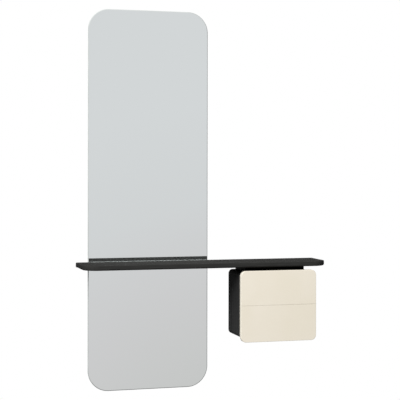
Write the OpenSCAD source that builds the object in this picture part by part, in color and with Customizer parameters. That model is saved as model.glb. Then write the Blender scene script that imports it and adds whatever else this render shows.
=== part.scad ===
// Wall mirror with a shelf across it, and a two-drawer box hung under the shelf's right half.
// Millimetres: X runs right along the wall, Y into the wall, Z up.
// The origin lies on the wall, at the centre of the rail that carries the mirror.

/* [Mirror] */
// Width of the glass
mirror_w = 454; // [400:1:520]
// Height of the glass
mirror_h = 1400; // [1250:1:1600]
// Corner radius of the glass
mirror_corner_r = 77; // [50:1:110]
// Thickness of the glass
glass_t = 5; // [4:0.5:8]
// Thickness of the backing board glued to the glass
backing_t = 6; // [5:0.5:10]
// How far the backing board stays inside the edge of the glass
backing_inset = 30; // [15:1:45]

/* [Hanging rails] */
// Thickness of the metal of the two hooked rails
rail_t = 2; // [1.5:0.1:3]
// Play between the hooked rails
rail_play = 0.3; // [0.2:0.05:0.5]
// Height of the flat part of each rail
rail_base_h = 20; // [16:1:30]
// Height of the hook of each rail
rail_hook_h = 10; // [6:1:16]
// Length of the rail on the wall
wall_rail_l = 280; // [260:1:320]
// Length of the rail on the backing board
panel_rail_l = 300; // [280:1:340]
// Distance between the wall screws of the rail
wall_rail_screw_gap = 220; // [160:1:240]
// Distance from the top of the glass down to the wall screws
rail_below_top = 180; // [100:1:300]
// Radius of the rubber pads behind the mirror
pad_r = 7; // [5:0.5:7]
// Height of the lower pads above the lower edge of the glass
pad_rise = 90; // [60:1:200]
// Distance between the two pads of a pair
pad_gap = 300; // [200:1:320]

/* [Shelf] */
// Thickness of the shelf board
shelf_t = 18; // [16:1:25]
// Depth of the shelf board
shelf_d = 168; // [155:1:220]
// Radius of the shelf's two front corners
shelf_corner_r = 53; // [30:1:60]
// Radius along the lower edge of the shelf
shelf_lower_edge_r = 6; // [3:0.5:7]
// Radius along the upper edge of the shelf
shelf_upper_edge_r = 2; // [1:0.5:4]
// Gap between the glass and the back of the shelf
mirror_gap = 7; // [4:0.5:12]
// Height of the shelf's top above the lower edge of the glass
shelf_rise = 474; // [420:1:600]
// How far the shelf runs past the glass on the left
shelf_past_mirror = 45; // [42:1:70]
// How far the shelf runs past the drawer fronts on the right
shelf_past_box = 48; // [44:1:80]

/* [Shelf rails] */
// Thickness of the strip that ties the two tubes together behind the mirror
tie_t = 2; // [1.5:0.1:2.5]
// Height of the two steel tubes that carry the shelf, and of the strip
shelf_rail_h = 15; // [14:0.5:15]
// Wall thickness of the tubes
shelf_rail_wall = 2; // [1.5:0.1:2.5]
// How far the tubes stay below the top of the shelf
shelf_rail_drop = 3; // [1:0.5:3.5]
// Free space between the left tube and the glass, and at the shelf's end
left_rail_margin = 3.5; // [2.5:0.5:4]
// Free space between the glass and the right tube
right_rail_margin = 13; // [6:1:20]
// Free space between the right tube and the end of the shelf
right_rail_end = 16; // [12:1:24]
// Radius of the steel rods that enter the shelf
rod_r = 5; // [4:0.25:5.5]
// Length of the rods inside the shelf
rod_l = 100; // [60:1:110]
// Distance from an end of the right tube to the nearest rod
rod_inset = 22; // [18:1:30]
// Distance between the wall screws of the left tube
left_rail_screw_gap = 22; // [21:0.5:22.5]
// Distance between the wall screws of the right tube
right_rail_screw_gap = 260; // [220:1:280]
// Radius of the grub screws that lock the rods
lock_screw_r = 2.5; // [2:0.25:3]
// Thickness of the plate of the plastic end caps
cap_t = 1; // [0.8:0.1:1.5]
// Length of the plug of the plastic end caps
cap_plug_l = 3; // [2:0.5:3]

/* [Hanger block] */
// Width of the block between the shelf and the drawer box
hanger_w = 230; // [200:1:240]
// Depth of the block
hanger_d = 120; // [100:1:125]
// Height of the block
hanger_h = 18; // [14:1:30]
// Distance of the block's screws from its edges
hanger_screw_inset = 25; // [18:1:30]
// Radius of the block's screws
hanger_screw_r = 2.5; // [2:0.25:3]
// How far the block's screws bite into the shelf
hanger_screw_bite = 9; // [6:0.5:10]

/* [Drawer box] */
// Gap between the glass and the left edge of the drawer fronts
box_gap = 77; // [60:1:120]
// Height of the box without its fronts
carcass_h = 242; // [220:1:300]
// Thickness of the boards of the box
carcass_t = 18; // [17:0.5:20]
// Radius of the box's outer corners
carcass_corner_r = 16; // [8:0.5:16.5]
// Thickness of the back panel of the box
carcass_back_t = 8; // [6:0.5:12]
// How far the top board stays back, so that fingers reach behind the upper front
finger_recess = 20; // [14:1:24]
// Outer radius of the sleeves between the box and the wall
standoff_r = 9; // [6:0.5:12]
// Distance between the sleeves along the wall
standoff_gap_x = 180; // [140:1:190]
// Distance between the sleeves in height
standoff_gap_z = 150; // [100:1:150]

/* [Drawer fronts] */
// Width of the drawer fronts
front_w = 290; // [276:1:320]
// Thickness of the drawer fronts
front_t = 18; // [15:0.5:20]
// Radius of the outer corners of the pair of fronts
front_corner_r = 19; // [10:0.5:26]
// Gap between the two fronts
front_gap = 0.5; // [0.4:0.1:3]
// How far the fronts stand past the box on each side
front_side_lap = 3; // [0:0.5:5]
// How far the upper front stands above the box
front_top_lap = 5; // [0:0.5:8]
// How far the lower front hangs below the box, as a finger grip
front_bottom_lap = 12; // [8:0.5:24]
// How far the fronts stay behind the front edge of the shelf
front_setback = 0; // [-4:0.5:4]
// Thickness of the silicone bumpers behind the fronts
bumper_t = 1; // [0.8:0.1:2]
// Radius of the silicone bumpers
bumper_r = 4; // [3:0.5:5]

/* [Drawers] */
// Thickness of the drawer sides, inner front and back
side_t = 10; // [9:0.5:12]
// Thickness of the drawer bottoms
bottom_t = 4; // [3:0.5:5]
// Depth of the groove that holds a drawer bottom
groove_d = 5; // [3:0.5:5]
// Height of the groove above the lower edge of a drawer
groove_rise = 6; // [5:0.5:8]
// Free height under each drawer
drawer_foot = 7; // [5:0.5:10]
// Free height over each drawer
drawer_headroom = 9; // [8:0.5:12]
// Free depth behind each drawer
drawer_rear_gap = 10; // [8:1:14]
// How far a drawer pulls out
drawer_travel = 90; // [60:1:92]
// Radius of the dowels
dowel_r = 2.5; // [2:0.25:3]

/* [Runners] */
// Thickness of a runner between the box and a drawer
runner_t = 12; // [11.5:0.1:13]
// Height of a runner's channel
runner_h = 27; // [24:0.5:32]
// Thickness of the runner metal
runner_metal = 1.2; // [1:0.1:1.4]
// Distance of the runners behind the front edge of the box
runner_setback = 3; // [2:0.5:5]
// Distance of the channels in front of the back panel
runner_rear_gap = 4; // [2:0.5:8]
// Radius of the bearing balls
ball_r = 2; // [1.75:0.05:2]
// Distance between neighbouring balls
ball_pitch = 7; // [5:0.5:7.5]
// Length of a ball cage
cage_l = 32; // [30:1:33]
// Thickness of a ball cage
cage_t = 0.8; // [0.6:0.1:0.9]

/* [Hidden] */

// Numbering of the drawers and of the sides
UPPER = 0;
LOWER = 1;
LEFT = -1;
RIGHT = 1;

// Small allowances
pin_play = 0.05;      // radial room round a screw or a dowel
groove_play = 0.2;    // room round a drawer bottom in its groove
hook_foot_play = 1;   // room under the hook of the upper rail
wall_screw_r = 2.75;  // holes for the wall screws
access_hole_r = 4.75; // holes that pass the head of a wall screw

// Depths, from the wall towards the room
backing_back_y = -(2 * rail_t + 1.5 * rail_play);
glass_back_y = backing_back_y - backing_t;
glass_front_y = glass_back_y - glass_t;
shelf_back_y = glass_front_y - mirror_gap;
shelf_front_y = shelf_back_y - shelf_d;
front_face_y = shelf_front_y + front_setback;
front_rear_y = front_face_y + front_t;
carcass_front_y = front_rear_y + bumper_t;
carcass_back_y = shelf_back_y;
back_panel_front_y = carcass_back_y - carcass_back_t;
drawer_rear_y = back_panel_front_y - drawer_rear_gap;
channel_rear_y = back_panel_front_y - runner_rear_gap;
runner_front_y = carcass_front_y + runner_setback;

// Heights
mirror_top_z = rail_below_top;
mirror_bottom_z = mirror_top_z - mirror_h;
rail_seat_z = rail_base_h / 2 + rail_t + rail_hook_h;
shelf_top_z = mirror_bottom_z + shelf_rise;
shelf_under_z = shelf_top_z - shelf_t;
shelf_rail_top_z = shelf_top_z - shelf_rail_drop;
shelf_rail_low_z = shelf_rail_top_z - shelf_rail_h;
shelf_screw_z = shelf_rail_low_z + shelf_rail_h / 2;
rod_z = shelf_top_z - shelf_t / 2;
carcass_top_z = shelf_under_z - hanger_h;
carcass_bottom_z = carcass_top_z - carcass_h;
split_z = carcass_top_z - carcass_h / 2;

// Widths
box_x = mirror_w / 2 + box_gap + front_w / 2;
carcass_w = front_w - 2 * front_side_lap;
carcass_left_x = box_x - carcass_w / 2;
inner_left_x = carcass_left_x + carcass_t;
drawer_left_x = inner_left_x + runner_t;
drawer_w = 2 * (box_x - drawer_left_x);
shelf_left_x = -mirror_w / 2 - shelf_past_mirror;
shelf_right_x = box_x + front_w / 2 + shelf_past_box;
left_rail_x = [shelf_left_x + left_rail_margin, -mirror_w / 2 - left_rail_margin];
right_rail_x = [mirror_w / 2 + right_rail_margin, shelf_right_x - right_rail_end];
left_rod_x = (left_rail_x[0] + left_rail_x[1]) / 2;
right_rod_x = [right_rail_x[0] + rod_inset, right_rail_x[1] - rod_inset];
right_rail_mid_x = (right_rail_x[0] + right_rail_x[1]) / 2;
left_rail_screws = [left_rod_x - left_rail_screw_gap / 2, left_rod_x + left_rail_screw_gap / 2];
right_rail_screws = [right_rail_mid_x - right_rail_screw_gap / 2,
                     right_rail_mid_x + right_rail_screw_gap / 2];

// Runner section: u counts from the box's side towards the drawer, v from the runner's middle
ball_u = runner_t / 2;
ball_v = runner_h / 2 - runner_metal - pin_play - ball_r;
slider_v = ball_v - ball_r - pin_play;
lip_w = 1;
lip_h = 1.1;
lip_play = 0.2;
cage_gap = 0.4;
cage_end_u = ball_u + ball_r + pin_play + cage_t;
slider_start_u = ball_u - ball_r - lip_play - lip_w;
channel_end_u = ball_u + ball_r + lip_play + lip_w;
// The cage lies in the middle of the engaged length when the drawer is pulled out
cage_open_y = (runner_front_y + drawer_rear_y - drawer_travel) / 2;
cage_y = cage_open_y + drawer_travel / 2;
balls_per_row = 4;
runner_screw_inset = 20;
runner_screw_r = 1.4;
runner_head_r = 2.6;

// Screws and dowels
panel_screw_end = 20;
panel_screw_out_x = panel_rail_l / 2 - panel_screw_end;
panel_screw_in_x = panel_screw_out_x / 3;
panel_screw_x = [-panel_screw_out_x, -panel_screw_in_x, panel_screw_in_x, panel_screw_out_x];
panel_screw_r = 1.75;
panel_head_r = 3.6;
hanger_head_r = 4.5;
hanger_head_h = 3;
hanger_screw_tip_play = 0.5;
lock_screw_back = 30;
lock_key_af_r = 1.3;
lock_key_d = 1.5;
front_screw_r = 2;
front_screw_bite = 12;
front_head_r = 4;
front_head_h = 2.5;
front_screw_room = 5;
carcass_dowel_r = 4;
carcass_dowel_in_side = 10;
carcass_dowel_in_board = 20;
carcass_dowel_back = 30;
carcass_dowel_front = 20;
drawer_dowel_in_side = 6;
drawer_dowel_in_end = 18;
drawer_dowel_low = 20;
drawer_dowel_top = 18;
channel_screw_bite = 12;
slider_screw_bite = 8;
bumper_end = 25;

$fn = 64;

// Height at which a drawer's sides start
function drawer_z(k) = (k == UPPER ? split_z : carcass_bottom_z + carcass_t) + drawer_foot;
side_h = carcass_h / 2 - carcass_t - drawer_foot - drawer_headroom;
function runner_z(k) = drawer_z(k) + side_h / 2;
function front_low_z(k) = k == UPPER ? split_z + front_gap / 2 : carcass_bottom_z - front_bottom_lap;
function front_high_z(k) = k == UPPER ? carcass_top_z + front_top_lap : split_z - front_gap / 2;
function zone_mid_z(k) = split_z + (k == UPPER ? 1 : -1) * carcass_h / 4;

// Extrudes a drawing of (x, z) from the back plane to the front plane
module along_y(back_y, front_y) {
    translate([0, back_y, 0])
        rotate([90, 0, 0])
            linear_extrude(back_y - front_y) children();
}

// Extrudes a drawing of (y, z) from x0 to x1
module along_x(x0, x1) {
    translate([x0, 0, 0])
        rotate([90, 0, 90])
            linear_extrude(x1 - x0) children();
}

// Round bar along Y, r1 at the back and r2 at the front
module bar_y(x, z, back_y, front_y, r1, r2) {
    translate([x, back_y, z])
        rotate([90, 0, 0])
            cylinder(h = back_y - front_y, r1 = r1, r2 = r2);
}

// Round bar along X, r1 at x0 and r2 at x1
module bar_x(x0, x1, y, z, r1, r2) {
    translate([x0, y, z])
        rotate([0, 90, 0])
            cylinder(h = x1 - x0, r1 = r1, r2 = r2);
}

// Square corner to corner
module span(x0, y0, x1, y1) {
    translate([x0, y0]) square([x1 - x0, y1 - y0]);
}

// Box corner to corner
module block(low, high) {
    translate(low) cube(high - low);
}

// Upright plate with its own radius at the lower and at the upper corners
module plate(x0, z0, x1, z1, low_r, high_r) {
    span(x0, z0 + low_r, x1, z1 - high_r);
    if (low_r > 0) {
        span(x0 + low_r, z0, x1 - low_r, z0 + 2 * low_r);
        for (x = [x0 + low_r, x1 - low_r]) translate([x, z0 + low_r]) circle(low_r);
    }
    if (high_r > 0) {
        span(x0 + high_r, z1 - 2 * high_r, x1 - high_r, z1);
        for (x = [x0 + high_r, x1 - high_r]) translate([x, z1 - high_r]) circle(high_r);
    }
}

// Puts a piece of the left half of the drawer box on either side
module on_side(side) {
    translate([box_x, 0, 0])
        mirror([side == RIGHT ? 1 : 0, 0, 0])
            translate([-box_x, 0, 0]) children();
}

// ---- Mirror ----

module mirror_glass() {
    color([0.82, 0.84, 0.84])
        along_y(glass_back_y, glass_front_y)
            plate(-mirror_w / 2, mirror_bottom_z, mirror_w / 2, mirror_top_z,
                  mirror_corner_r, mirror_corner_r);
}

// One countersunk screw through the upper rail, grown by play for its hole
module panel_screw(x, play) {
    z = rail_seat_z + rail_t + rail_base_h / 2;
    rail_back_y = backing_back_y + rail_t;
    bar_y(x, z, rail_back_y, backing_back_y, panel_head_r + play, panel_screw_r + play);
    bar_y(x, z, backing_back_y, glass_back_y + 1 - play, panel_screw_r + play, panel_screw_r + play);
}

module backing_board() {
    color([0.09, 0.09, 0.09])
        difference() {
            along_y(backing_back_y, glass_back_y)
                plate(-mirror_w / 2 + backing_inset, mirror_bottom_z + backing_inset,
                      mirror_w / 2 - backing_inset, mirror_top_z - backing_inset,
                      mirror_corner_r - backing_inset, mirror_corner_r - backing_inset);
            for (x = panel_screw_x) panel_screw(x, pin_play);
        }
}

module panel_rail() {
    hook_back_y = -rail_play / 2;
    color([0.72, 0.73, 0.74])
        difference() {
            along_x(-panel_rail_l / 2, panel_rail_l / 2) {
                span(hook_back_y - rail_t, rail_seat_z - rail_hook_h + hook_foot_play,
                     hook_back_y, rail_seat_z + rail_t);
                span(backing_back_y, rail_seat_z, hook_back_y, rail_seat_z + rail_t);
                span(backing_back_y, rail_seat_z, backing_back_y + rail_t,
                     rail_seat_z + rail_t + rail_base_h);
            }
            for (x = panel_screw_x) panel_screw(x, pin_play);
        }
}

module panel_rail_screws() {
    color([0.6, 0.6, 0.58]) for (x = panel_screw_x) panel_screw(x, 0);
}

module wall_rail() {
    web_z = rail_base_h / 2;
    hook_front_y = -(2 * rail_t + rail_play);
    color([0.72, 0.73, 0.74])
        difference() {
            along_x(-wall_rail_l / 2, wall_rail_l / 2) {
                span(-rail_t, -rail_base_h / 2, 0, web_z + rail_t);
                span(hook_front_y, web_z, 0, web_z + rail_t);
                span(hook_front_y, web_z, hook_front_y + rail_t, rail_seat_z);
            }
            for (x = [-wall_rail_screw_gap / 2, wall_rail_screw_gap / 2])
                bar_y(x, 0, 1, -rail_t - 1, wall_screw_r, wall_screw_r);
        }
}

// Lower pads against the wall, upper pads against the strip that ties the shelf's tubes
module mirror_pads() {
    color([0.13, 0.13, 0.13])
        for (x = [-pad_gap / 2, pad_gap / 2]) {
            bar_y(x, mirror_bottom_z + pad_rise, 0, backing_back_y, pad_r, pad_r);
            bar_y(x, shelf_screw_z, -tie_t, backing_back_y, pad_r, pad_r);
        }
}

// ---- Shelf ----

// Plan of the shelf, drawn in by an amount at both ends and along the front
module shelf_plan(inset) {
    x0 = shelf_left_x + inset;
    x1 = shelf_right_x - inset;
    front = shelf_front_y + inset;
    r = shelf_corner_r - inset;
    span(x0, front + r, x1, shelf_back_y);
    span(x0 + r, front, x1 - r, shelf_back_y);
    for (x = [x0 + r, x1 - r]) translate([x, front + r]) circle(r);
}

// The board with its rounded edges, as thin plans stacked in one hull
module shelf_blank() {
    thin = 0.01;
    steps = [0, 22.5, 45, 67.5, 90];
    lower = [for (a = steps) [shelf_under_z + shelf_lower_edge_r * (1 - sin(a)),
                              shelf_lower_edge_r * (1 - cos(a))]];
    upper = [for (a = steps) [shelf_top_z - thin - shelf_upper_edge_r * (1 - sin(a)),
                              shelf_upper_edge_r * (1 - cos(a))]];
    hull()
        for (layer = concat(lower, upper))
            translate([0, 0, layer[0]]) linear_extrude(thin) shelf_plan(layer[1]);
}

// A rod's way into the shelf, from the back
module rod_bore(x) {
    bar_y(x, rod_z, shelf_back_y + 1, shelf_back_y - rod_l - 1, rod_r + pin_play, rod_r + pin_play);
}

lock_screw_x = [left_rod_x, right_rod_x[0], right_rod_x[1]];
hanger_screw_spots = [
    for (sx = [-1, 1], front = [0, 1])
        [box_x + sx * (hanger_w / 2 - hanger_screw_inset),
         shelf_back_y - (front == 1 ? hanger_d - hanger_screw_inset : hanger_screw_inset)]
];

// Shanks of the four screws that hold the box and the block up to the shelf
module hanger_shanks(play) {
    for (spot = hanger_screw_spots)
        translate([spot[0], spot[1], carcass_top_z - carcass_t - play])
            cylinder(h = carcass_t + hanger_h + hanger_screw_bite + play
                         + (play > 0 ? hanger_screw_tip_play : 0),
                     r = hanger_screw_r + play);
}

module shelf_board() {
    color([0.24, 0.24, 0.24])
        difference() {
            shelf_blank();
            rod_bore(left_rod_x);
            for (x = [right_rod_x[0], right_rail_mid_x, right_rod_x[1]]) rod_bore(x);
            for (x = lock_screw_x)
                translate([x, shelf_back_y - lock_screw_back, shelf_under_z - 1])
                    cylinder(h = rod_z - shelf_under_z + 1, r = lock_screw_r + pin_play);
            hanger_shanks(pin_play);
        }
}

// Section of a tube, drawn in by an amount all round
module tube_section(inset) {
    span(shelf_back_y + inset, shelf_rail_low_z + inset, -tie_t - inset, shelf_rail_top_z - inset);
}

// Square tube with rods welded in, open at both ends
module shelf_rail(ends, rods, screws) {
    color([0.1, 0.1, 0.1])
        difference() {
            union() {
                along_x(ends[0], ends[1])
                    difference() {
                        tube_section(0);
                        tube_section(shelf_rail_wall);
                    }
                for (x = rods)
                    bar_y(x, rod_z, -tie_t - shelf_rail_wall / 2, shelf_back_y - rod_l, rod_r, rod_r);
            }
            for (x = screws) {
                bar_y(x, shelf_screw_z, 0, -tie_t - shelf_rail_wall - 1, wall_screw_r, wall_screw_r);
                bar_y(x, shelf_screw_z, shelf_back_y + shelf_rail_wall + 1, shelf_back_y - 1,
                      access_hole_r, access_hole_r);
            }
        }
}

module left_shelf_rail() {
    shelf_rail(left_rail_x, [left_rod_x], left_rail_screws);
}

module right_shelf_rail() {
    shelf_rail(right_rail_x, [right_rod_x[0], right_rail_mid_x, right_rod_x[1]], right_rail_screws);
}

module tie_strip() {
    color([0.1, 0.1, 0.1])
        difference() {
            block([left_rail_x[0], -tie_t, shelf_rail_low_z], [right_rail_x[1], 0, shelf_rail_top_z]);
            for (x = concat(left_rail_screws, right_rail_screws))
                bar_y(x, shelf_screw_z, 1, -tie_t - 1, wall_screw_r, wall_screw_r);
        }
}

// Cap on a tube's end; outward is -1 on a left end and 1 on a right end
module end_cap(x, outward) {
    tip_x = x - outward * cap_plug_l;
    face_x = x + outward * cap_t;
    along_x(min(x, face_x), max(x, face_x)) tube_section(0);
    along_x(min(tip_x, x), max(tip_x, x)) tube_section(shelf_rail_wall + pin_play);
}

module rail_end_caps() {
    color([0.08, 0.08, 0.08])
        for (ends = [left_rail_x, right_rail_x]) {
            end_cap(ends[0], -1);
            end_cap(ends[1], 1);
        }
}

module shelf_lock_screws() {
    tip_z = rod_z - rod_r - pin_play;
    foot_z = shelf_under_z + 0.2;
    color([0.35, 0.35, 0.35])
        for (x = lock_screw_x)
            translate([x, shelf_back_y - lock_screw_back, 0])
                difference() {
                    translate([0, 0, foot_z]) cylinder(h = tip_z - foot_z, r = lock_screw_r);
                    translate([0, 0, foot_z - 1])
                        cylinder(h = lock_key_d + 1, r = lock_key_af_r, $fn = 6);
                }
}

// ---- Hanger block ----

module hanger_block() {
    color([0.05, 0.05, 0.05])
        difference() {
            block([box_x - hanger_w / 2, shelf_back_y - hanger_d, carcass_top_z],
                  [box_x + hanger_w / 2, shelf_back_y, shelf_under_z]);
            hanger_shanks(pin_play);
        }
}

module hanger_screws() {
    color([0.6, 0.6, 0.58]) {
        hanger_shanks(0);
        for (spot = hanger_screw_spots)
            translate([spot[0], spot[1], carcass_top_z - carcass_t - hanger_head_h])
                cylinder(h = hanger_head_h, r = hanger_head_r);
    }
}

// ---- Drawer box ----

// Dowels of the left side, two each for the top and for the bottom board
module carcass_dowels_left(play) {
    for (z = [carcass_top_z - carcass_t / 2, carcass_bottom_z + carcass_t / 2])
        for (y = [carcass_back_y - carcass_dowel_back,
                  carcass_front_y + finger_recess + carcass_dowel_front])
            bar_x(inner_left_x - carcass_dowel_in_side - play,
                  inner_left_x + carcass_dowel_in_board + play,
                  y, z, carcass_dowel_r + play, carcass_dowel_r + play);
}

// Screws of a runner's channel into the box's left side
module channel_screws_left(k, play) {
    for (y = [runner_front_y + runner_screw_inset, channel_rear_y - runner_screw_inset]) {
        bar_x(inner_left_x, inner_left_x + runner_metal, y, runner_z(k),
              runner_screw_r + play, runner_head_r + play);
        bar_x(inner_left_x - channel_screw_bite - play, inner_left_x, y, runner_z(k),
              runner_screw_r + play, runner_screw_r + play);
    }
}

// The left end of a rounded plate, as wide as a board is thick
module carcass_side(side) {
    color([0.17, 0.17, 0.17])
        on_side(side)
            difference() {
                along_y(carcass_back_y, carcass_front_y)
                    intersection() {
                        plate(carcass_left_x, carcass_bottom_z, 2 * box_x - carcass_left_x,
                              carcass_top_z, carcass_corner_r, carcass_corner_r);
                        span(carcass_left_x, carcass_bottom_z, inner_left_x, carcass_top_z);
                    }
                carcass_dowels_left(pin_play);
                channel_screws_left(UPPER, pin_play);
                channel_screws_left(LOWER, pin_play);
            }
}

// Top or bottom board between the sides
module carcass_level(low_z, front_y) {
    color([0.15, 0.15, 0.15])
        difference() {
            block([inner_left_x, front_y, low_z],
                  [2 * box_x - inner_left_x, carcass_back_y, low_z + carcass_t]);
            for (side = [LEFT, RIGHT]) on_side(side) carcass_dowels_left(pin_play);
            hanger_shanks(pin_play);
        }
}

module carcass_top() {
    carcass_level(carcass_top_z - carcass_t, carcass_front_y + finger_recess);
}

module carcass_bottom() {
    carcass_level(carcass_bottom_z, carcass_front_y);
}

standoff_spots = [
    for (sx = [-1, 1], sz = [-1, 1]) [box_x + sx * standoff_gap_x / 2, split_z + sz * standoff_gap_z / 2]
];

module carcass_back() {
    color([0.15, 0.15, 0.15])
        difference() {
            block([inner_left_x, back_panel_front_y, carcass_bottom_z + carcass_t],
                  [2 * box_x - inner_left_x, carcass_back_y, carcass_top_z - carcass_t]);
            for (spot = standoff_spots)
                bar_y(spot[0], spot[1], carcass_back_y + 1, back_panel_front_y - 1,
                      wall_screw_r, wall_screw_r);
        }
}

module carcass_dowels() {
    color([0.75, 0.6, 0.42]) for (side = [LEFT, RIGHT]) on_side(side) carcass_dowels_left(0);
}

module box_standoffs() {
    color([0.12, 0.12, 0.12])
        for (spot = standoff_spots)
            difference() {
                bar_y(spot[0], spot[1], 0, carcass_back_y, standoff_r, standoff_r);
                bar_y(spot[0], spot[1], 1, carcass_back_y - 1, wall_screw_r, wall_screw_r);
            }
}

// ---- Runners ----

// Section of the channel that is screwed to the box's left side
module channel_section() {
    half = runner_h / 2;
    span(0, -half, runner_metal, half);
    for (v = [0, 1])
        mirror([0, v]) {
            span(0, half - runner_metal, channel_end_u, half);
            span(channel_end_u - lip_w, half - runner_metal - lip_h, channel_end_u, half);
        }
}

module runner_channel(k, side) {
    color([0.62, 0.63, 0.65])
        on_side(side)
            difference() {
                along_y(channel_rear_y, runner_front_y)
                    translate([inner_left_x, runner_z(k)]) channel_section();
                channel_screws_left(k, pin_play);
            }
}

module channel_screws() {
    color([0.6, 0.6, 0.58])
        for (k = [UPPER, LOWER], side = [LEFT, RIGHT]) on_side(side) channel_screws_left(k, 0);
}

// Section of the slider that is screwed to the drawer's left side
module slider_section() {
    span(runner_t - runner_metal, -slider_v, runner_t, slider_v);
    for (v = [0, 1])
        mirror([0, v]) {
            span(slider_start_u, slider_v - runner_metal, runner_t, slider_v);
            span(slider_start_u, slider_v - runner_metal, slider_start_u + lip_w, slider_v + lip_h);
        }
}

// Screws of a slider into the drawer's left side
module slider_screws_left(k, play) {
    for (y = [runner_front_y + runner_screw_inset, drawer_rear_y - runner_screw_inset]) {
        bar_x(drawer_left_x - runner_metal, drawer_left_x, y, runner_z(k),
              runner_head_r + play, runner_screw_r + play);
        bar_x(drawer_left_x, drawer_left_x + slider_screw_bite + play, y, runner_z(k),
              runner_screw_r + play, runner_screw_r + play);
    }
}

module runner_slider(k, side) {
    color([0.7, 0.71, 0.73])
        on_side(side)
            difference() {
                along_y(drawer_rear_y, runner_front_y)
                    translate([inner_left_x, runner_z(k)]) slider_section();
                slider_screws_left(k, pin_play);
            }
}

module slider_screws(k) {
    color([0.6, 0.6, 0.58]) for (side = [LEFT, RIGHT]) on_side(side) slider_screws_left(k, 0);
}

ball_y = [for (i = [0 : balls_per_row - 1]) cage_y + (i - (balls_per_row - 1) / 2) * ball_pitch];

// Section of the folded strip that keeps the balls apart
module cage_section() {
    web_u = runner_metal + cage_gap;
    span(web_u, -ball_v - cage_t / 2, web_u + cage_t, ball_v + cage_t / 2);
    for (v = [-ball_v, ball_v]) span(web_u, v - cage_t / 2, cage_end_u, v + cage_t / 2);
}

module ball_cage(k, side) {
    color([0.9, 0.9, 0.86])
        on_side(side)
            difference() {
                along_y(cage_y + cage_l / 2, cage_y - cage_l / 2)
                    translate([inner_left_x, runner_z(k)]) cage_section();
                for (y = ball_y, v = [-ball_v, ball_v])
                    translate([inner_left_x + ball_u, y, runner_z(k) + v - cage_t])
                        cylinder(h = 2 * cage_t, r = ball_r + pin_play);
            }
}

module bearing_balls(k) {
    color([0.8, 0.8, 0.82])
        for (side = [LEFT, RIGHT])
            on_side(side)
                for (y = ball_y, v = [-ball_v, ball_v])
                    translate([inner_left_x + ball_u, y, runner_z(k) + v]) sphere(ball_r, $fn = 24);
}

// ---- Drawers ----

inner_front_y = front_rear_y + side_t;
inner_back_y = drawer_rear_y - side_t;
drawer_inner_x = drawer_left_x + side_t;
// The front's screws stand beside the ends of the dowels
front_screw_dx = box_x - drawer_inner_x - drawer_dowel_in_end - front_head_r - front_screw_room;
bumper_dz = carcass_h / 4 - bumper_end;

// Screws from inside a drawer into its front
module front_screws_at(k, play) {
    for (dx = [-front_screw_dx, front_screw_dx])
        for (z = [drawer_z(k) + drawer_dowel_low, drawer_z(k) + side_h - drawer_dowel_top]) {
            bar_y(box_x + dx, z, inner_front_y + (play > 0 ? 0 : front_head_h), inner_front_y,
                  front_head_r, front_head_r);
            bar_y(box_x + dx, z, inner_front_y + play, front_rear_y - front_screw_bite - play,
                  front_screw_r + play, front_screw_r + play);
        }
}

module drawer_front(k) {
    color([0.91, 0.88, 0.82])
        difference() {
            along_y(front_rear_y, front_face_y)
                plate(box_x - front_w / 2, front_low_z(k), box_x + front_w / 2, front_high_z(k),
                      k == LOWER ? front_corner_r : 0, k == UPPER ? front_corner_r : 0);
            front_screws_at(k, pin_play);
        }
}

// Space that a drawer's bottom takes, grown by play for its groove
module bottom_space(k, play) {
    low = drawer_z(k) + groove_rise;
    reach = groove_d - groove_play + play;
    block([drawer_inner_x - reach, inner_front_y - reach, low],
          [2 * box_x - drawer_inner_x + reach, inner_back_y + reach, low + bottom_t + play]);
}

// Dowels at the left corners, two each for the inner front and for the back
module drawer_dowels_left(k, play) {
    for (z = [drawer_z(k) + drawer_dowel_low, drawer_z(k) + side_h - drawer_dowel_top])
        for (y = [front_rear_y + side_t / 2, drawer_rear_y - side_t / 2])
            bar_x(drawer_inner_x - drawer_dowel_in_side - play,
                  drawer_inner_x + drawer_dowel_in_end + play,
                  y, z, dowel_r + play, dowel_r + play);
}

module drawer_side(k, side) {
    color([0.8, 0.72, 0.6])
        on_side(side)
            difference() {
                block([drawer_left_x, front_rear_y, drawer_z(k)],
                      [drawer_inner_x, drawer_rear_y, drawer_z(k) + side_h]);
                bottom_space(k, groove_play);
                drawer_dowels_left(k, pin_play);
                slider_screws_left(k, pin_play);
            }
}

// Inner front or back between the sides
module drawer_end(k, front_y) {
    color([0.8, 0.72, 0.6])
        difference() {
            block([drawer_inner_x, front_y, drawer_z(k)],
                  [2 * box_x - drawer_inner_x, front_y + side_t, drawer_z(k) + side_h]);
            bottom_space(k, groove_play);
            for (side = [LEFT, RIGHT]) on_side(side) drawer_dowels_left(k, pin_play);
            front_screws_at(k, pin_play);
        }
}

module drawer_bottom(k) {
    color([0.85, 0.78, 0.66]) bottom_space(k, 0);
}

module drawer_dowels(k) {
    color([0.75, 0.6, 0.42]) for (side = [LEFT, RIGHT]) on_side(side) drawer_dowels_left(k, 0);
}

module front_screws(k) {
    color([0.6, 0.6, 0.58]) front_screws_at(k, 0);
}

module bumpers(k) {
    color([0.85, 0.86, 0.86])
        for (side = [LEFT, RIGHT], dz = [-bumper_dz, bumper_dz])
            on_side(side)
                bar_y(carcass_left_x + carcass_t / 2, zone_mid_z(k) + dz,
                      carcass_front_y, front_rear_y, bumper_r, bumper_r);
}

// ---- Pieces ----

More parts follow.
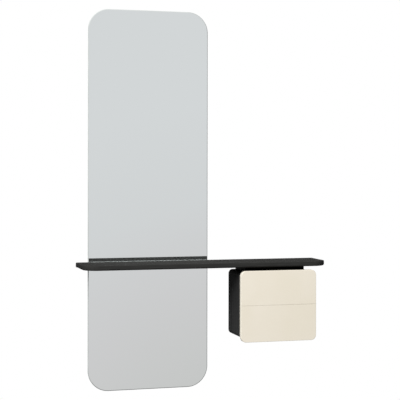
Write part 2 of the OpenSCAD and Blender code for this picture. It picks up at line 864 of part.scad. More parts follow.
mirror_glass();
backing_board();
panel_rail();
panel_rail_screws();
wall_rail();
mirror_pads();
shelf_board();
tie_strip();
left_shelf_rail();
right_shelf_rail();
rail_end_caps();
shelf_lock_screws();
hanger_block();
hanger_screws();
carcass_side(LEFT);  // carcass_left_side
carcass_side(RIGHT);  // carcass_right_side
carcass_top();
carcass_bottom();
carcass_back();
carcass_dowels();
box_standoffs();
channel_screws();
runner_channel(UPPER, LEFT);  // upper_left_channel
runner_channel(UPPER, RIGHT);  // upper_right_channel
runner_channel(LOWER, LEFT);  // lower_left_channel
runner_channel(LOWER, RIGHT);  // lower_right_channel
drawer_front(UPPER);  // upper_front
drawer_end(UPPER, front_rear_y);  // upper_inner_front
drawer_side(UPPER, LEFT);  // upper_left_side
drawer_side(UPPER, RIGHT);  // upper_right_side
drawer_end(UPPER, drawer_rear_y - side_t);  // upper_back
drawer_bottom(UPPER);  // upper_bottom
drawer_dowels(UPPER);  // upper_dowels
front_screws(UPPER);  // upper_front_screws
bumpers(UPPER);  // upper_bumpers
runner_slider(UPPER, LEFT);  // upper_left_slider
runner_slider(UPPER, RIGHT);  // upper_right_slider
slider_screws(UPPER);  // upper_slider_screws
ball_cage(UPPER, LEFT);  // upper_left_cage
ball_cage(UPPER, RIGHT);  // upper_right_cage
bearing_balls(UPPER);  // upper_balls
drawer_front(LOWER);  // lower_front
drawer_end(LOWER, front_rear_y);  // lower_inner_front
drawer_side(LOWER, LEFT);  // lower_left_side
drawer_side(LOWER, RIGHT);  // lower_right_side
drawer_end(LOWER, drawer_rear_y - side_t);  // lower_back
drawer_bottom(LOWER);  // lower_bottom
drawer_dowels(LOWER);  // lower_dowels
front_screws(LOWER);  // lower_front_screws
bumpers(LOWER);  // lower_bumpers
runner_slider(LOWER, LEFT);  // lower_left_slider
runner_slider(LOWER, RIGHT);  // lower_right_slider
slider_screws(LOWER);  // lower_slider_screws
ball_cage(LOWER, LEFT);  // lower_left_cage
ball_cage(LOWER, RIGHT);  // lower_right_cage
bearing_balls(LOWER);  // lower_balls
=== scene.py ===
import math

import bmesh
import bpy
from mathutils import Matrix, Vector


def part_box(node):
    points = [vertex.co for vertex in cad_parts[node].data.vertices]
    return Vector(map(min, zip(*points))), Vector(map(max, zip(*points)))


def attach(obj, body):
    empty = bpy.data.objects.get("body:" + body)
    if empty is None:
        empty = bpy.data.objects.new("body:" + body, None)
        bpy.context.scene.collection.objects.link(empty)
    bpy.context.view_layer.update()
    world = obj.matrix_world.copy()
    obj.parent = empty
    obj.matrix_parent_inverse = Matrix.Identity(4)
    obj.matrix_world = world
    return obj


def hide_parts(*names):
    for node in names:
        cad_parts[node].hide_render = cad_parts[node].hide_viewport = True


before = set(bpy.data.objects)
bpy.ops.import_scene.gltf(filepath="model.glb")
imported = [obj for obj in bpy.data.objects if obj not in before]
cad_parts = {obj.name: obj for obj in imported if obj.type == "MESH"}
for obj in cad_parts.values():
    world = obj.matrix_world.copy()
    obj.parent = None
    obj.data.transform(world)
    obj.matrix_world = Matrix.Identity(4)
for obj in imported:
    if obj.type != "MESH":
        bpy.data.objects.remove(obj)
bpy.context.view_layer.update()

# ---- Camera ----
# The picture is taken from the left of the mirror, above the shelf, with a long lens held
# level: the frame is shifted down rather than tilted.
camera_place = Vector((-0.98516, -4.19093, -0.4073))
turn_right = 0.275921
roll = 0.001419
film_width = 36.0
focal_length = 104.3
shift_down = 0.0766

camera = bpy.data.objects.new("camera", bpy.data.cameras.new("camera"))
bpy.context.scene.collection.objects.link(camera)
camera.data.sensor_width = film_width
camera.data.lens = focal_length
camera.data.shift_y = -shift_down
camera.matrix_world = (
    Matrix.Translation(camera_place)
    @ Matrix.Rotation(-turn_right, 4, "Z")
    @ Matrix.Rotation(math.radians(90), 4, "X")
    @ Matrix.Rotation(roll, 4, "Z")
)
bpy.context.scene.camera = camera

# ---- Mirror glass ----
# One sheet of 5 mm float glass with big round corners. Its rim is finely ground, with a flat
# chamfer in front, and its back is silvered and painted. The silvering is shown on the front
# face, where it reflects.
glass_corner = 0.077
glass_chamfer = 0.0026
glass_rear_arris = 0.0008

X, Y, Z = 0, 1, 2
tolerance = 1e-6  # how close two places are to count as one
square_on = 0.999  # a face looks along an axis when its normal has at least this much of it
edge_on = 0.001  # and stands edge-on to the axis when its normal has less than this


def block(low, high):
    """Square-edged block between two corners."""
    bm = bmesh.new()
    bmesh.ops.create_cube(bm, size=1)
    bmesh.ops.scale(bm, vec=high - low, verts=bm.verts)
    bmesh.ops.translate(bm, vec=(low + high) / 2, verts=bm.verts)
    return bm


def anywhere(middle):
    """Accepts an edge wherever its middle is."""
    return True


def edges_along(bm, axis, where=anywhere):
    """Edges that run along an axis and whose middle is where asked."""
    found = []
    for edge in bm.edges:
        a, b = (vert.co for vert in edge.verts)
        run = b - a
        if abs(abs(run[axis]) - run.length) < tolerance and where((a + b) / 2):
            found.append(edge)
    return found


def edges_level(bm, axis, height, where=anywhere):
    """Edges whose two ends both lie at a height on an axis."""
    return [
        edge
        for edge in bm.edges
        if all(abs(vert.co[axis] - height) < tolerance for vert in edge.verts)
        and where((edge.verts[0].co + edge.verts[1].co) / 2)
    ]


def round_over(bm, edges, radius, segments):
    """Rounds edges over to a radius. A single segment makes a flat chamfer."""
    bmesh.ops.bevel(
        bm,
        geom=edges,
        offset=radius,
        offset_type="OFFSET",
        segments=segments,
        profile=0.5,
        affect="EDGES",
        clamp_overlap=True,
        material=-1,
    )


def object_from(bm, name):
    """Turns a bmesh into an object at the origin."""
    mesh = bpy.data.meshes.new(name)
    bm.to_mesh(mesh)
    bm.free()
    thing = bpy.data.objects.new(name, mesh)
    bpy.context.scene.collection.objects.link(thing)
    return thing


def piece_from(bm, name, body, replaced, slot, *materials):
    """Turns a bmesh into a piece: round faces are shaded smooth, flat ones and square edges not."""
    flat = 0.99999
    square_edge = math.radians(60)
    for face in bm.faces:
        face.smooth = max(abs(part) for part in face.normal) < flat
    for edge in bm.edges:
        if edge.calc_face_angle(0.0) > square_edge:
            edge.smooth = False
    piece = object_from(bm, name)
    for material in materials:
        piece.data.materials.append(material)
    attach(piece, body)
    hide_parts(*replaced)
    return piece


def surface(name, colour=None, roughness=None, metallic=0.0, specular=0.5):
    """A new material, its node tree and its shader. What varies over it is added after."""
    material = bpy.data.materials.new(name)
    material.use_nodes = True
    tree = material.node_tree
    shader = tree.nodes["Principled BSDF"]
    if colour is not None:
        shader.inputs["Base Color"].default_value = (*colour, 1)
    if roughness is not None:
        shader.inputs["Roughness"].default_value = roughness
    shader.inputs["Metallic"].default_value = metallic
    shader.inputs["Specular IOR Level"].default_value = specular
    return material, tree, shader


def mottle(tree, fineness, scale, detail=3.0, distortion=0.0):
    """Noise on the piece's own coordinates, finer along an axis that has a larger number."""
    place = tree.nodes.new("ShaderNodeTexCoord")
    mapping = tree.nodes.new("ShaderNodeMapping")
    noise = tree.nodes.new("ShaderNodeTexNoise")
    mapping.inputs["Scale"].default_value = fineness
    noise.inputs["Scale"].default_value = scale
    noise.inputs["Detail"].default_value = detail
    noise.inputs["Distortion"].default_value = distortion
    tree.links.new(place.outputs["Object"], mapping.inputs["Vector"])
    tree.links.new(mapping.outputs["Vector"], noise.inputs["Vector"])
    return noise.outputs["Fac"]


def shade_between(tree, factor, dark, light, start=0.35, end=0.65):
    """A colour that goes from one shade to another as a factor goes from start to end."""
    ramp = tree.nodes.new("ShaderNodeValToRGB")
    ramp.color_ramp.elements[0].position = start
    ramp.color_ramp.elements[0].color = (*dark, 1)
    ramp.color_ramp.elements[1].position = end
    ramp.color_ramp.elements[1].color = (*light, 1)
    tree.links.new(factor, ramp.inputs["Fac"])
    return ramp.outputs["Color"]


def value_between(tree, factor, least, most, start=0.3, end=0.7):
    """A number that goes from least to most as a factor goes from start to end."""
    spread = tree.nodes.new("ShaderNodeMapRange")
    spread.inputs["From Min"].default_value = start
    spread.inputs["From Max"].default_value = end
    spread.inputs["To Min"].default_value = least
    spread.inputs["To Max"].default_value = most
    tree.links.new(factor, spread.inputs["Value"])
    return spread.outputs["Result"]


def vary_colour(tree, shader, factor, dark, light):
    """Lets a surface's colour go from one shade to another with a factor."""
    tree.links.new(shade_between(tree, factor, dark, light), shader.inputs["Base Color"])


def vary_roughness(tree, shader, factor, least, most):
    """Lets a surface's roughness go from least to most with a factor."""
    tree.links.new(value_between(tree, factor, least, most), shader.inputs["Roughness"])


def relief(tree, shader, height, depth, strength):
    """Fine relief of a depth in metres."""
    bump = tree.nodes.new("ShaderNodeBump")
    bump.inputs["Strength"].default_value = strength
    bump.inputs["Distance"].default_value = depth
    tree.links.new(height, bump.inputs["Height"])
    tree.links.new(bump.outputs["Normal"], shader.inputs["Normal"])


even = (1, 1, 1)
silvering, tree, shader = surface("silvering", colour=(0.8, 0.83, 0.835), metallic=1.0)
vary_roughness(tree, shader, mottle(tree, even, 4.0), 0.004, 0.022)

ground_edge, tree, shader = surface("ground_edge", roughness=0.6, specular=0.08)
vary_colour(tree, shader, mottle(tree, (1, 6, 1), 30.0), (0.41, 0.43, 0.42), (0.47, 0.49, 0.48))
relief(tree, shader, mottle(tree, (1, 4, 1), 250.0), depth=0.0001, strength=0.03)

rim_glass, tree, shader = surface("rim_glass", roughness=0.5, specular=0.15)
vary_colour(tree, shader, mottle(tree, (1, 6, 1), 30.0), (0.59, 0.65, 0.62), (0.67, 0.73, 0.7))
relief(tree, shader, mottle(tree, (1, 4, 1), 250.0), depth=0.0001, strength=0.03)

back_paint, tree, shader = surface("back_paint", roughness=0.6, specular=0.3)
vary_colour(tree, shader, mottle(tree, even, 90.0), (0.17, 0.18, 0.17), (0.23, 0.24, 0.23))
relief(tree, shader, mottle(tree, even, 1400.0), depth=0.0001, strength=0.3)

low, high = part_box("mirror_glass")
sheet = block(low, high)
round_over(sheet, edges_along(sheet, Y), glass_corner, segments=28)
round_over(sheet, edges_level(sheet, Y, low.y), glass_chamfer, segments=1)
round_over(sheet, edges_level(sheet, Y, high.y), glass_rear_arris, segments=2)
for edge in edges_level(sheet, Y, low.y) + edges_level(sheet, Y, low.y + glass_chamfer):
    edge.smooth = False

glass_finishes = [silvering, ground_edge, back_paint, rim_glass]
for face in sheet.faces:
    if face.normal.y < -square_on:
        finish = silvering
    elif face.normal.y > square_on:
        finish = back_paint
    elif abs(face.normal.y) < edge_on:
        finish = rim_glass
    else:
        finish = ground_edge
    face.material_index = glass_finishes.index(finish)
piece_from(sheet, "mirror", "root", ["mirror_glass"], "mirror_glass", *glass_finishes)

# ---- Backing board ----
# A 6 mm fibreboard painted black, glued to the glass and set in from its edge so that it
# can't be seen from the front. Its rear edges are broken.
backing_corner = 0.047
backing_arris = 0.0015

black_board, tree, shader = surface("black_board", roughness=0.7, specular=0.2)
vary_colour(
    tree, shader, mottle(tree, even, 150.0, detail=6.0),
    (0.024, 0.024, 0.024), (0.036, 0.035, 0.034),
)
relief(tree, shader, mottle(tree, even, 900.0), depth=0.0002, strength=0.35)

low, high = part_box("backing_board")
board = block(low, high)
round_over(board, edges_along(board, Y), backing_corner, segments=20)
round_over(board, edges_level(board, Y, high.y), backing_arris, segments=2)
piece_from(board, "backing", "root", ["backing_board"], "backing", black_board)

# ---- Hanging rails ----
# Two hooked aluminium extrusions: one is screwed to the wall, the other to the backing board,
# and the mirror is hung by dropping the second on to the first.
rail_metal, tree, shader = surface("rail_metal", metallic=1.0)
vary_colour(tree, shader, mottle(tree, (2, 300, 300), 4.0), (0.42, 0.43, 0.44), (0.58, 0.59, 0.6))
vary_roughness(tree, shader, mottle(tree, (4, 500, 500), 3.0), 0.35, 0.5)
relief(tree, shader, mottle(tree, (3, 600, 600), 3.0), depth=0.0001, strength=0.25)


def dress(node, material):
    """Gives a solid that is shown as it is its material."""
    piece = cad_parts[node]
    piece.data.materials.clear()
    piece.data.materials.append(material)


dress("wall_rail", rail_metal)
dress("panel_rail", rail_metal)

# ---- Screws ----
# Zinc-plated countersunk and pan-head screws hold the mirror's rail, the drawer box, the
# runners and the fronts. Small black grub screws under the shelf lock it on its rods.
zinc, tree, shader = surface("zinc", metallic=1.0)
vary_colour(tree, shader, mottle(tree, even, 500.0), (0.52, 0.53, 0.53), (0.68, 0.67, 0.62))
vary_roughness(tree, shader, mottle(tree, even, 900.0), 0.25, 0.45)
for node in (
    "panel_rail_screws",
    "hanger_screws",
    "channel_screws",
    "upper_front_screws",
    "lower_front_screws",
    "upper_slider_screws",
    "lower_slider_screws",
):
    dress(node, zinc)

blackened, tree, shader = surface("blackened", roughness=0.4, metallic=0.8)
vary_colour(tree, shader, mottle(tree, even, 900.0), (0.035, 0.035, 0.035), (0.07, 0.07, 0.07))
dress("shelf_lock_screws", blackened)

# ---- Rubber pads ----
# Self-adhesive discs behind the lower half of the mirror. Two bear on the wall and two on the
# strip that ties the shelf's tubes together.
pad_radius = 0.007
pad_rim_round = 0.0006
wall_y = 0.0

rubber, tree, shader = surface("rubber", roughness=0.75, specular=0.3)
vary_colour(tree, shader, mottle(tree, even, 400.0), (0.022, 0.022, 0.022), (0.042, 0.042, 0.042))
relief(tree, shader, mottle(tree, even, 2000.0), depth=0.0001, strength=0.3)

pads_low, pads_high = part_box("mirror_pads")
strip_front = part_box("tie_strip")[0].y
pads = bmesh.new()
for x in (pads_low.x + pad_radius, pads_high.x - pad_radius):
    for z, rear in ((pads_low.z + pad_radius, wall_y), (pads_high.z - pad_radius, strip_front)):
        length = rear - pads_low.y
        pad = bmesh.ops.create_cone(
            pads,
            cap_ends=True,
            segments=40,
            radius1=pad_radius,
            radius2=pad_radius,
            depth=length,
            matrix=Matrix.Translation((x, rear - length / 2, z))
            @ Matrix.Rotation(math.radians(90), 4, "X"),
        )
        corners = set(pad["verts"])
        rims = [
            edge
            for edge in pads.edges
            if edge.verts[0] in corners
            and abs(edge.verts[0].co.y - edge.verts[1].co.y) < tolerance
        ]
        round_over(pads, rims, pad_rim_round, segments=2)
piece_from(pads, "pads", "root", ["mirror_pads"], "rubber_pads", rubber)

# ---- Shelf ----
# One 18 mm board across the mirror, covered in a matt charcoal laminate except on its rear
# edge, which is only primed. The front corners are wide arcs, the upper edge is barely broken
# and the lower edge is rounded under.
shelf_corner = 0.053
shelf_upper_round = 0.002
shelf_lower_round = 0.006
grub_hole_x = (-0.2495, 0.262, 0.604)
grub_hole_from_rear = 0.03
grub_hole_radius = 0.00255
grub_hole_depth = 0.004

charcoal, tree, shader = surface("charcoal", specular=0.002)
vary_colour(
    tree, shader, mottle(tree, (2, 60, 60), 9.0, detail=6.0, distortion=0.3),
    (0.026, 0.026, 0.025), (0.036, 0.036, 0.0345),
)
vary_roughness(tree, shader, mottle(tree, (1, 20, 20), 12.0), 0.65, 0.85)
relief(tree, shader, mottle(tree, (60, 900, 900), 1.0, detail=4.0), depth=0.00015, strength=0.35)

primed_edge, tree, shader = surface("primed_edge", roughness=0.7, specular=0.2)
vary_colour(
    tree, shader, mottle(tree, (1, 8, 1), 120.0, detail=4.0),
    (0.68, 0.68, 0.66), (0.76, 0.76, 0.74),
)
relief(tree, shader, mottle(tree, even, 900.0), depth=0.0002, strength=0.3)

low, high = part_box("shelf_board")
rear = high.y
shelf = block(low, high)


def off_rear(middle):
    """Leaves out the edges of the shelf's rear, which stay square."""
    return middle.y < rear - tolerance


round_over(shelf, edges_along(shelf, Z, off_rear), shelf_corner, segments=24)
round_over(shelf, edges_level(shelf, Z, high.z, off_rear), shelf_upper_round, segments=3)
round_over(shelf, edges_level(shelf, Z, low.z, off_rear), shelf_lower_round, segments=6)

shelf_finishes = [charcoal, primed_edge]
for face in shelf.faces:
    finish = primed_edge if face.normal.y > square_on else charcoal
    face.material_index = shelf_finishes.index(finish)
shelf_piece = piece_from(shelf, "shelf", "root", ["shelf_board"], "dark_shelf", *shelf_finishes)

drills = bmesh.new()
for x in grub_hole_x:
    bmesh.ops.create_cone(
        drills,
        cap_ends=True,
        segments=40,
        radius1=grub_hole_radius,
        radius2=grub_hole_radius,
        depth=2 * grub_hole_depth,
        matrix=Matrix.Translation((x, rear - grub_hole_from_rear, low.z)),
    )
drill_piece = object_from(drills, "drills")
drilling = shelf_piece.modifiers.new("grub_holes", "BOOLEAN")
drilling.operation = "DIFFERENCE"
drilling.solver = "EXACT"
drilling.object = drill_piece
drilled = shelf_piece.evaluated_get(bpy.context.evaluated_depsgraph_get())
shelf_piece.data = bpy.data.meshes.new_from_object(drilled)
shelf_piece.modifiers.clear()
bpy.data.objects.remove(drill_piece)

# ---- Shelf rails ----
# Powder-coated steel: two square tubes with welded rods, screwed to the wall through a flat
# strip that passes behind the mirror. Plastic plugs close the tubes' ends.
powder_coat, tree, shader = surface("powder_coat", roughness=0.65, specular=0.08)
vary_colour(tree, shader, mottle(tree, even, 200.0), (0.016, 0.016, 0.016), (0.026, 0.026, 0.026))
relief(tree, shader, mottle(tree, even, 1100.0), depth=0.0002, strength=0.25)
for node in ("left_shelf_rail", "right_shelf_rail", "tie_strip"):
    dress(node, powder_coat)

black_plastic, tree, shader = surface("black_plastic", roughness=0.55, specular=0.4)
vary_colour(tree, shader, mottle(tree, even, 300.0), (0.02, 0.02, 0.02), (0.032, 0.032, 0.032))
relief(tree, shader, mottle(tree, even, 1600.0), depth=0.0001, strength=0.3)
dress("rail_end_caps", black_plastic)

# ---- Hanger block ----
# A solid block, painted flat black so that it disappears, screwed between the shelf and the
# drawer box.
hanger_arris = 0.001

flat_black, tree, shader = surface("flat_black", roughness=0.85, specular=0.08)
vary_colour(tree, shader, mottle(tree, even, 150.0), (0.003, 0.003, 0.003), (0.006, 0.006, 0.006))
relief(tree, shader, mottle(tree, even, 900.0), depth=0.0001, strength=0.3)

low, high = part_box("hanger_block")
hanger = block(low, high)
round_over(hanger, edges_along(hanger, Z), hanger_arris, segments=2)
piece_from(hanger, "hanger", "root", ["hanger_block"], "black_block", flat_black)

# ---- Drawer box ----
# 18 mm boards and an 8 mm back in near-black stained ash. The sides are rounded over at their
# outer corners; top, bottom and back fit between them, the boards on dowels. The grain stands
# upright on sides and back.
box_corner = 0.016
board_arris = 0.0007
stain_dark = (0.023, 0.023, 0.023)
stain_light = (0.039, 0.039, 0.039)


def stained_wood(name, along):
    """Near-black stained wood with its grain along an axis."""
    material, tree, shader = surface(name, specular=0.004)
    streaks = [70.0, 70.0, 70.0]
    streaks[along] = 1.5
    pores = [700.0, 700.0, 700.0]
    pores[along] = 12.0
    vary_colour(
        tree, shader, mottle(tree, streaks, 3.0, detail=6.0, distortion=0.4),
        stain_dark, stain_light,
    )
    vary_roughness(tree, shader, mottle(tree, streaks, 5.0), 0.7, 0.9)
    relief(tree, shader, mottle(tree, pores, 1.0, detail=4.0), depth=0.0003, strength=0.5)
    return material


upright_grain = stained_wood("stained_upright", Z)
level_grain = stained_wood("stained_level", X)

for side in ("left", "right"):
    low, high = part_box(f"carcass_{side}_side")
    outer_x = low.x if side == "left" else high.x
    board = block(low, high)
    outer_edges = edges_along(board, Y, lambda middle: abs(middle.x - outer_x) < tolerance)
    round_over(board, outer_edges, box_corner, segments=12)
    for y in (low.y, high.y):
        round_over(board, edges_level(board, Y, y), board_arris, segments=2)
    piece_from(
        board, f"box_{side}_side", "root", [f"carcass_{side}_side"], "dark_box", upright_grain
    )

for level in ("top", "bottom"):
    low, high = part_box(f"carcass_{level}")
    board = block(low, high)
    round_over(board, edges_along(board, X), board_arris, segments=2)
    piece_from(board, f"box_{level}", "root", [f"carcass_{level}"], "dark_box", level_grain)

dress("carcass_back", upright_grain)

raw_beech, tree, shader = surface("raw_beech", roughness=0.6, specular=0.3)
vary_colour(
    tree, shader, mottle(tree, (30, 400, 400), 2.0, detail=5.0),
    (0.42, 0.28, 0.17), (0.58, 0.42, 0.27),
)
for node in ("carcass_dowels", "upper_dowels", "lower_dowels"):
    dress(node, raw_beech)

# ---- Box standoffs ----
# Moulded sleeves that hold the box as far from the wall as the shelf; the wall screws pass
# through them.
dress("box_standoffs", black_plastic)

# ---- Runners ----
# Ball-bearing runners of folded zinc-plated steel: channels on the box, sliders on the drawers,
# and nylon cages whose balls roll between them.
runner_steel, tree, shader = surface("runner_steel", metallic=1.0)
vary_colour(tree, shader, mottle(tree, (300, 3, 300), 3.0), (0.5, 0.51, 0.53), (0.68, 0.69, 0.69))
vary_roughness(tree, shader, mottle(tree, (200, 4, 200), 4.0), 0.24, 0.42)

nylon, tree, shader = surface("nylon", roughness=0.45)
vary_colour(tree, shader, mottle(tree, even, 300.0), (0.62, 0.62, 0.56), (0.76, 0.76, 0.7))

ball_steel, tree, shader = surface("ball_steel", colour=(0.75, 0.75, 0.77), metallic=1.0)
vary_roughness(tree, shader, mottle(tree, even, 600.0), 0.06, 0.18)

for drawer in ("upper", "lower"):
    dress(f"{drawer}_balls", ball_steel)
    for side in ("left", "right"):
        dress(f"{drawer}_{side}_channel", runner_steel)
        dress(f"{drawer}_{side}_slider", runner_steel)
        dress(f"{drawer}_{side}_cage", nylon)

# ---- Drawer fronts ----
# Two 18 mm boards in warm cream lacquer, cut from one rounded rectangle, so that the outer
# corners are round and the edges along the joint are straight. Edges are softly broken, those
# along the joint hardly at all.
front_corner = 0.019
front_arris = 0.0012
joint_arris = 0.0003

cream, tree, shader = surface("cream", specular=0.3)
vary_colour(
    tree, shader, mottle(tree, even, 7.0, detail=2.0), (0.8, 0.74, 0.62), (0.82, 0.76, 0.65)
)
vary_roughness(tree, shader, mottle(tree, even, 40.0), 0.36, 0.48)
relief(tree, shader, mottle(tree, even, 700.0, detail=2.0), depth=0.0001, strength=0.2)

for drawer in ("upper", "lower"):
    low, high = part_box(f"{drawer}_front")
    outer_z, joint_z = (high.z, low.z) if drawer == "upper" else (low.z, high.z)
    front = block(low, high)
    outer_edges = edges_along(front, Y, lambda middle: abs(middle.z - outer_z) < tolerance)
    round_over(front, outer_edges, front_corner, segments=16)
    for y in (low.y, high.y):
        rim = edges_level(front, Y, y, lambda middle: abs(middle.z - joint_z) > joint_arris)
        round_over(front, rim, front_arris, segments=3)
    round_over(front, edges_level(front, Z, joint_z), joint_arris, segments=2)
    past_joint_z = joint_z + math.copysign(joint_arris, outer_z - joint_z)
    for edge in edges_level(front, Z, past_joint_z):
        edge.smooth = False
    piece_from(
        front, f"{drawer}_drawer_front", f"{drawer}_drawer", [f"{drawer}_front"], "cream_front",
        cream,
    )

# ---- Drawer boxes ----
# 10 mm birch plywood on dowels, clear-lacquered, with the plies showing on the upper edges, and
# a 4 mm plywood bottom in a groove.
ply_thickness = 0.0014


def calculate(tree, operation, *values):
    """A number worked out from other sockets and from plain numbers."""
    step = tree.nodes.new("ShaderNodeMath")
    step.operation = operation
    for socket, value in zip(step.inputs, values):
        if isinstance(value, bpy.types.NodeSocket):
            tree.links.new(value, socket)
        else:
            socket.default_value = value
    return step.outputs["Value"]


def birch(name, along, through):
    """Birch plywood with its face grain along one axis and its plies stacked through another."""
    material, tree, shader = surface(name, roughness=0.45, specular=0.35)
    streaks = [45.0, 45.0, 45.0]
    streaks[along] = 3.0
    face_shade = shade_between(
        tree, mottle(tree, streaks, 2.0, detail=5.0, distortion=0.6),
        (0.55, 0.41, 0.27), (0.68, 0.54, 0.38),
    )
    place = tree.nodes.new("ShaderNodeTexCoord")
    axes = tree.nodes.new("ShaderNodeSeparateXYZ")
    tree.links.new(place.outputs["Object"], axes.inputs["Vector"])
    plies = calculate(tree, "MULTIPLY", axes.outputs[through], math.pi / ply_thickness)
    wave = calculate(tree, "SINE", plies)
    ply_shade = shade_between(
        tree, value_between(tree, wave, 0.0, 1.0, start=-1.0, end=1.0),
        (0.36, 0.23, 0.13), (0.66, 0.51, 0.35), start=0.4, end=0.6,
    )
    facing = tree.nodes.new("ShaderNodeNewGeometry")
    normals = tree.nodes.new("ShaderNodeSeparateXYZ")
    tree.links.new(facing.outputs["Normal"], normals.inputs["Vector"])
    on_face = calculate(tree, "MULTIPLY", normals.outputs[through], normals.outputs[through])
    mix = tree.nodes.new("ShaderNodeMix")
    mix.data_type = "RGBA"
    tree.links.new(on_face, mix.inputs["Factor"])
    tree.links.new(ply_shade, mix.inputs["A"])
    tree.links.new(face_shade, mix.inputs["B"])
    tree.links.new(mix.outputs["Result"], shader.inputs["Base Color"])
    fibres = [600.0, 600.0, 600.0]
    fibres[along] = 20.0
    relief(tree, shader, mottle(tree, fibres, 1.0), depth=0.00015, strength=0.3)
    return material


side_birch = birch("birch_sides", along=Y, through=X)
end_birch = birch("birch_ends", along=X, through=Y)
bottom_birch = birch("birch_bottom", along=X, through=Z)

silicone, tree, shader = surface("silicone", roughness=0.35)
vary_colour(tree, shader, mottle(tree, even, 300.0), (0.55, 0.55, 0.55), (0.66, 0.66, 0.66))

for drawer in ("upper", "lower"):
    dress(f"{drawer}_left_side", side_birch)
    dress(f"{drawer}_right_side", side_birch)
    dress(f"{drawer}_inner_front", end_birch)
    dress(f"{drawer}_back", end_birch)
    dress(f"{drawer}_bottom", bottom_birch)
    dress(f"{drawer}_bumpers", silicone)

# ---- Studio ----
# A pale floor that fades to white away from the object, and a booth of glowing grey card round
# the front, open behind, that only the mirror and other glossy things see. The light comes from
# a large glowing cloth, a small lamp low behind and a faint glow all round.
floor_middle = Vector((0.15, -0.2, -1.62))
floor_radius = 7.0
fade_start = 0.7
fade_end = 1.7


def blend_shaders(tree, factor, first, second):
    """A shader that goes from the first to the second with a factor."""
    mix = tree.nodes.new("ShaderNodeMixShader")
    tree.links.new(factor, mix.inputs["Fac"])
    tree.links.new(first, mix.inputs[1])
    tree.links.new(second, mix.inputs[2])
    return mix.outputs["Shader"]


floor = bmesh.new()
bmesh.ops.create_circle(
    floor,
    cap_ends=True,
    segments=96,
    radius=floor_radius,
    matrix=Matrix.Translation(floor_middle),
)
floor_piece = object_from(floor, "floor")
floor_piece.visible_glossy = False
floor_piece.visible_diffuse = False

pale, tree, shader = surface("pale_floor", colour=(0.8, 0.8, 0.8), roughness=0.9, specular=0.1)
place = tree.nodes.new("ShaderNodeTexCoord")
centred = tree.nodes.new("ShaderNodeMapping")
centred.inputs["Location"].default_value = (-floor_middle.x, -floor_middle.y, 0)
centred.inputs["Scale"].default_value = (1, 1, 0)
reach = tree.nodes.new("ShaderNodeVectorMath")
reach.operation = "LENGTH"
tree.links.new(place.outputs["Object"], centred.inputs["Vector"])
tree.links.new(centred.outputs["Vector"], reach.inputs[0])
fade = value_between(tree, reach.outputs["Value"], 0.0, 1.0, start=fade_start, end=fade_end)
light_path = tree.nodes.new("ShaderNodeLightPath")
seen_fade = calculate(tree, "MULTIPLY", fade, light_path.outputs["Is Camera Ray"])
white = tree.nodes.new("ShaderNodeEmission")
fading = blend_shaders(tree, seen_fade, shader.outputs["BSDF"], white.outputs["Emission"])
underside = tree.nodes.new("ShaderNodeNewGeometry")
clear = tree.nodes.new("ShaderNodeBsdfTransparent")
open_below = blend_shaders(
    tree, underside.outputs["Backfacing"], fading, clear.outputs["BSDF"]
)
tree.links.new(open_below, tree.nodes["Material Output"].inputs["Surface"])
pale.cycles.emission_sampling = "NONE"
floor_piece.data.materials.append(pale)

# The card glows a little less round one low place on its front wall, a painted shade, so
# that what the mirror shows grows darker towards its foot.
booth_low = Vector((-12.0, -7.5, -12.5))
booth_high = Vector((12.0, 2.0, 11.5))
darkest_place = (3.0, -7.5, -4.5)
dark_reach = 2.0
light_reach = 4.8
darkest_grey = (0.698, 0.688, 0.676, 1)
lightest_grey = (0.806, 0.81, 0.814, 1)
greys_between = (
    (0.28, (0.738, 0.719, 0.719, 1)),
    (0.46, (0.759, 0.744, 0.747, 1)),
    (0.64, (0.78, 0.781, 0.784, 1)),
)


def glowing(name):
    """A new material that only glows, its node tree and its emission node."""
    material = bpy.data.materials.new(name)
    material.use_nodes = True
    tree = material.node_tree
    tree.nodes.remove(tree.nodes["Principled BSDF"])
    return material, tree, tree.nodes.new("ShaderNodeEmission")


card = block(booth_low, booth_high)
rear_wall = [face for face in card.faces if face.normal.y > square_on]
bmesh.ops.delete(card, geom=rear_wall, context="FACES_ONLY")
card_piece = object_from(card, "grey_card")
card_piece.visible_camera = False
card_piece.visible_diffuse = False
card_piece.visible_shadow = False
card_piece.visible_transmission = False

# The card's glow, with painted shade round its darkest place.
card_grey, tree, glow = glowing("card_grey")
place = tree.nodes.new("ShaderNodeTexCoord")
reach = tree.nodes.new("ShaderNodeVectorMath")
reach.operation = "DISTANCE"
reach.inputs[1].default_value = darkest_place
tree.links.new(place.outputs["Object"], reach.inputs[0])
greys = tree.nodes.new("ShaderNodeValToRGB")
lightness = value_between(
    tree, reach.outputs["Value"], 0.0, 1.0, start=dark_reach, end=light_reach
)
tree.links.new(lightness, greys.inputs["Fac"])
greys.color_ramp.elements[0].color = darkest_grey
greys.color_ramp.elements[1].color = lightest_grey
for position, grey in greys_between:
    greys.color_ramp.elements.new(position).color = grey
tree.links.new(greys.outputs["Color"], glow.inputs["Color"])
tree.links.new(glow.outputs["Emission"], tree.nodes["Material Output"].inputs["Surface"])
card_grey.cycles.emission_sampling = "NONE"
card_piece.data.materials.append(card_grey)

# The main light is a glowing cloth on a frame, which the mirror leaves out of what it shows,
# while the light that the mirror throws back from it still counts.
cloth_middle = Vector((-3.53, -4.92, 4.44))
cloth_aim = Vector((0.2, -0.1, -0.75))
cloth_width = 4.7
cloth_strength = 14.41

cloth = bmesh.new()
bmesh.ops.create_grid(cloth, x_segments=1, y_segments=1, size=cloth_width / 2)
turn = (cloth_aim - cloth_middle).to_track_quat("Z", "Y").to_matrix().to_4x4()
bmesh.ops.transform(cloth, matrix=Matrix.Translation(cloth_middle) @ turn, verts=cloth.verts)
cloth_piece = object_from(cloth, "light_cloth")
cloth_piece.visible_camera = False
cloth_piece.visible_shadow = False

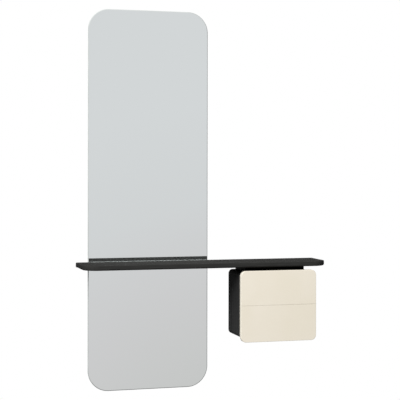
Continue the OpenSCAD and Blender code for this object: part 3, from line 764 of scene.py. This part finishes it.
cloth_glow, tree, glow = glowing("cloth_glow")
glow.inputs["Strength"].default_value = cloth_strength
light_path = tree.nodes.new("ShaderNodeLightPath")
unscattered = calculate(tree, "LESS_THAN", light_path.outputs["Diffuse Depth"], 1)
mirrored = calculate(tree, "MULTIPLY", light_path.outputs["Is Glossy Ray"], unscattered)
underside = tree.nodes.new("ShaderNodeNewGeometry")
hidden = calculate(tree, "MAXIMUM", underside.outputs["Backfacing"], mirrored)
clear = tree.nodes.new("ShaderNodeBsdfTransparent")
cloth_shader = blend_shaders(tree, hidden, glow.outputs["Emission"], clear.outputs["BSDF"])
tree.links.new(cloth_shader, tree.nodes["Material Output"].inputs["Surface"])
cloth_glow.cycles.emission_sampling = "FRONT"
cloth_piece.data.materials.append(cloth_glow)

fill_place = Vector((2.7, 2.5, -1.1))
fill_aim = Vector((0.2, 0.0, -0.6))
fill_width = 1.2
fill_power = 32.0

lamp = bpy.data.objects.new("rear_fill", bpy.data.lights.new("rear_fill", "AREA"))
bpy.context.scene.collection.objects.link(lamp)
lamp.data.shape = "SQUARE"
lamp.data.size = fill_width
lamp.data.energy = fill_power
lamp.location = fill_place
lamp.rotation_euler = (fill_aim - fill_place).to_track_quat("-Z", "Y").to_euler()
lamp.visible_camera = False
lamp.visible_glossy = False

surrounding_glow = 0.21

world = bpy.data.worlds.new("studio")
bpy.context.scene.world = world
world.use_nodes = True
tree = world.node_tree
tree.nodes.clear()
soft_light = tree.nodes.new("ShaderNodeBackground")
soft_light.inputs["Color"].default_value = (1, 1, 1, 1)
soft_light.inputs["Strength"].default_value = surrounding_glow
backdrop = tree.nodes.new("ShaderNodeBackground")
backdrop.inputs["Color"].default_value = (1, 1, 1, 1)
light_path = tree.nodes.new("ShaderNodeLightPath")
shows_backdrop = light_path.outputs["Is Camera Ray"]
for ray in ("Is Glossy Ray", "Is Transmission Ray"):
    shows_backdrop = calculate(tree, "MAXIMUM", shows_backdrop, light_path.outputs[ray])
surroundings = blend_shaders(
    tree, shows_backdrop, soft_light.outputs["Background"], backdrop.outputs["Background"]
)
world_output = tree.nodes.new("ShaderNodeOutputWorld")
tree.links.new(surroundings, world_output.inputs["Surface"])
bpy.context.scene.view_settings.view_transform = "Standard"
